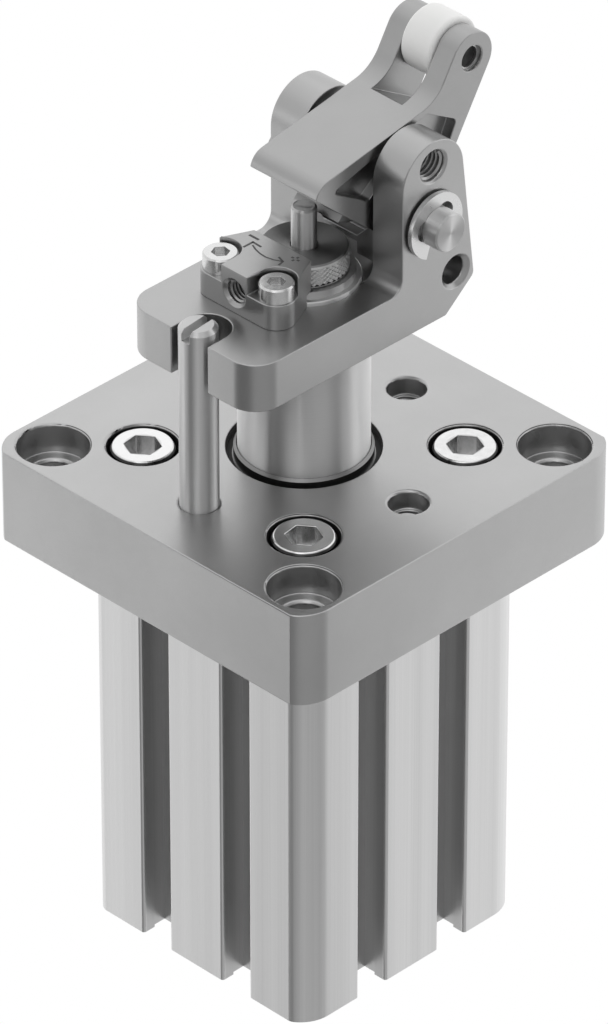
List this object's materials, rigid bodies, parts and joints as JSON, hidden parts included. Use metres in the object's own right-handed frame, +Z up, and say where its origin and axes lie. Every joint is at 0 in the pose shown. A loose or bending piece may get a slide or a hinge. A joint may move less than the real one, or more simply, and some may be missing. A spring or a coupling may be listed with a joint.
{
  "type": "pallet stopper",
  "caption": "Lift cylinder with square flange, guide pin and carrier; a tilting lever with a roller stops pallets against a shock absorber.",
  "frame": {"origin": "on the rod's axis at the barrel's lower face", "axes": "+Z up along the rod, +X towards the incoming pallet on the roller's side, Y along the lever's axle"},
  "size_m": [0.1064, 0.1064, 0.2369],
  "materials": {
    "barrel_metal": "fine drawn satin, anodised",
    "flange_metal": "satin anodised",
    "carrier_metal": "satin anodised",
    "lever_metal": "satin anodised",
    "block_metal": "satin anodised with etched marks",
    "cap_metal": "turned",
    "piston_metal": "turned",
    "rod_chrome": "polished hard chrome",
    "pin_steel": "ground and turned",
    "screw_steel": "bright zinc",
    "clip_steel": "stamped",
    "absorber_steel": "turned",
    "ring_metal": "knurled",
    "wiper_metal": "turned",
    "bush_bronze": "plain",
    "seal_rubber": "matt",
    "magnet_black": "matt",
    "wear_plastic": "matt",
    "roller_plastic": "smooth"
  },
  "bodies": {
    "base": {"barrel": "barrel_metal", "end_cap": "cap_metal", "end_cap_seal": "seal_rubber", "snap_ring": "clip_steel", "flange_plate": "flange_metal", "flange_seal": "seal_rubber", "rod_bush": "bush_bronze", "rod_seal": "seal_rubber", "rod_wiper": "wiper_metal", "flange_screws": "screw_steel", "guide_pin": "pin_steel"},
    "rod": {"piston_rod": "rod_chrome", "piston": "piston_metal", "piston_magnet": "magnet_black", "wear_ring": "wear_plastic", "piston_seal": "seal_rubber", "piston_nut": "screw_steel", "lever_carrier": "carrier_metal", "lever_axle": "pin_steel", "axle_clips": "clip_steel", "absorber_body": "absorber_steel", "absorber_gland": "absorber_steel", "clamp_block": "block_metal", "clamp_screws": "screw_steel"},
    "ring": {"adjusting_ring": "ring_metal"},
    "plunger": {"absorber_plunger": "pin_steel"},
    "lever": {"lever": "lever_metal", "roller_pin": "pin_steel", "roller_pin_rings": "clip_steel"},
    "roller": {"roller": "roller_plastic"}
  },
  "joints": [
    {"name": "rod_slide", "type": "slide", "parent": "base", "child": "rod", "axis": [0, 0, 1], "range_m": [-0.03, 0]},
    {"name": "ring_turn", "type": "hinge", "parent": "rod", "child": "ring", "pos_m": [0, 0, 0.1895], "axis": [0, 0, 1], "range_deg": [0, 300]},
    {"name": "plunger_slide", "type": "slide", "parent": "rod", "child": "plunger", "axis": [0, 0, 1], "range_m": [-0.0078, 0]},
    {"name": "lever_tilt", "type": "hinge", "parent": "rod", "child": "lever", "pos_m": [0.02045, 0, 0.1987], "axis": [0, -1, 0], "range_deg": [0, 24], "stiffness_Nm_per_rad": 0.2, "springref_deg": -22.92},
    {"name": "roller_spin", "type": "hinge", "parent": "lever", "child": "roller", "pos_m": [0.045, 0, 0.2287], "axis": [0, -1, 0], "continuous": true}
  ],
  "couplings": [
    {"joint": "plunger_slide", "follows": "lever_tilt", "m_per_rad": -0.0185}
  ]
}
